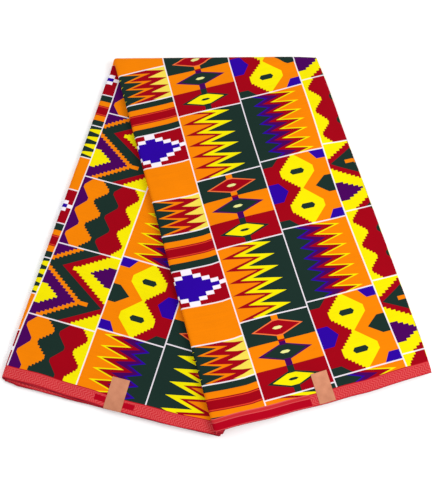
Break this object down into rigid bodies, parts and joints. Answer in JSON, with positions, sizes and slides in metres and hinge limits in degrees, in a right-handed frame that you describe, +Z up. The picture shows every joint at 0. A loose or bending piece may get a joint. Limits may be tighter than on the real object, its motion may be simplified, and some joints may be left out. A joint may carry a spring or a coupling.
{
  "type": "folded wax print fabric",
  "caption": "Cut length of strip-pattern wax print cotton, folded into a flat bundle and folded again over a slanting crease into an upside-down V.",
  "frame": {"origin": "centre of the folded cloth's box, on the surface it lies on", "axes": "+Z up through the layers, +Y towards the crease, +X towards the front leg"},
  "size_m": [0.6498, 0.6424, 0.0254],
  "materials": {
    "printed_cotton": "plain woven cotton with a lightly glazed strip-pattern wax print in orange, yellow, crimson, dark green and purple",
    "foil_label": "blank copper-coloured foil paper, stuck on"
  },
  "bodies": {
    "root": {"cloth": "printed_cotton", "label_left": "foil_label", "label_right": "foil_label"}
  },
  "joints": []
}
